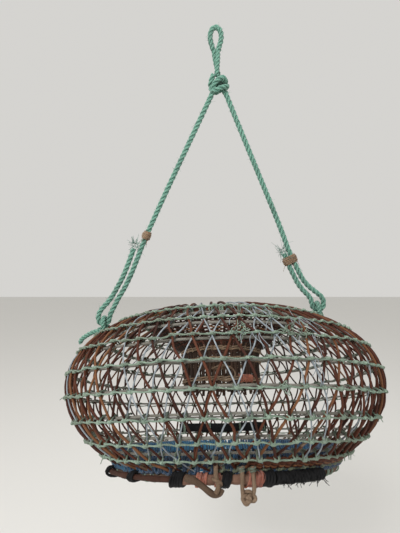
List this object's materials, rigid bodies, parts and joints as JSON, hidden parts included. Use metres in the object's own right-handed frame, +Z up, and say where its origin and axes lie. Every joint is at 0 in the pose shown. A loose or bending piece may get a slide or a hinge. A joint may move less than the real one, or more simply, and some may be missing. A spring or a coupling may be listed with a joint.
{
  "type": "woven trap",
  "caption": "Hand-woven withy pot for catching crabs, an oblate basket with a funnel mouth, a lashed base hatch and a knotted rope bridle.",
  "frame": {"origin": "top of the hole in the rope eye, where a hook carries the pot", "axes": "+Z up along the pull of the hook, -Y the side that shows the hanging loop, +X to its right"},
  "size_m": [0.5557, 0.5226, 0.8363],
  "materials": {
    "rope_green": "laid polypropylene rope, worn",
    "tan_twine": "matt twine",
    "withy": "peeling bark, satin",
    "cane": "weathered cane",
    "green_twine": "faded polyethylene twine",
    "dark_stake": "split wood",
    "black_rubber": "matt inner tube",
    "blue_rope": "laid rope, dirty",
    "pale_withy": "bare wood",
    "weathered_wood": "grey-brown, worn"
  },
  "bodies": {
    "bridle": {"rope_eye": "rope_green", "rope_stem": "rope_green", "crown_knot": "rope_green", "rope_leg_left": "rope_green", "rope_leg_right": "rope_green", "whipping_left": "tan_twine", "whipping_right": "tan_twine"},
    "pot": {"shoulder_hitches": "rope_green", "mouth_rim": "withy", "withies_1": "withy", "withies_2": "withy", "withies_3": "withy", "withies_4": "withy", "withies_5": "withy", "withies_6": "withy", "withies_7": "withy", "withies_8": "withy", "withies_9": "withy", "hoop_1": "cane", "hoop_2": "cane", "hoop_3": "cane", "hoop_4": "cane", "hoop_5": "cane", "hoop_6": "cane", "hoop_7": "cane", "hoop_8": "cane", "twine_row_1": "green_twine", "twine_row_2": "green_twine", "twine_row_3": "green_twine", "twine_row_4": "green_twine", "twine_row_5": "green_twine", "twine_row_6": "green_twine", "twine_row_7": "green_twine", "twine_row_8": "green_twine", "twine_row_9": "green_twine", "funnel_stakes": "dark_stake", "funnel_row_1": "tan_twine", "funnel_row_2": "tan_twine", "funnel_row_3": "tan_twine", "bait_strap": "black_rubber", "sill_hoop": "weathered_wood", "sill_lacing": "blue_rope"},
    "hatch": {"hatch_hoop": "weathered_wood", "hatch_net": "blue_rope", "hatch_bar_left": "weathered_wood", "hatch_bar_middle": "weathered_wood", "hatch_bar_right": "black_rubber", "hatch_lashings": "black_rubber", "hinge_lashings": "blue_rope", "hooked_branch": "weathered_wood"},
    "catch_loop": {"catch_loop": "pale_withy"}
  },
  "joints": [
    {"name": "pot_rock", "type": "hinge", "parent": "bridle", "child": "pot", "pos_m": [-0.198, 0, -0.5085], "axis": [0.9975, 0, 0.0707], "range_deg": [-45, 90]},
    {"name": "hatch_hinge", "type": "hinge", "parent": "pot", "child": "hatch", "pos_m": [0.0179, 0.13496, -0.81413], "axis": [0.9998, 0, 0.0209], "range_deg": [0, 100]},
    {"name": "loop_swing", "type": "hinge", "parent": "pot", "child": "catch_loop", "pos_m": [0.03242, -0.22344, -0.64771], "axis": [-0.9998, 0, -0.0209], "range_deg": [0, 80]}
  ]
}
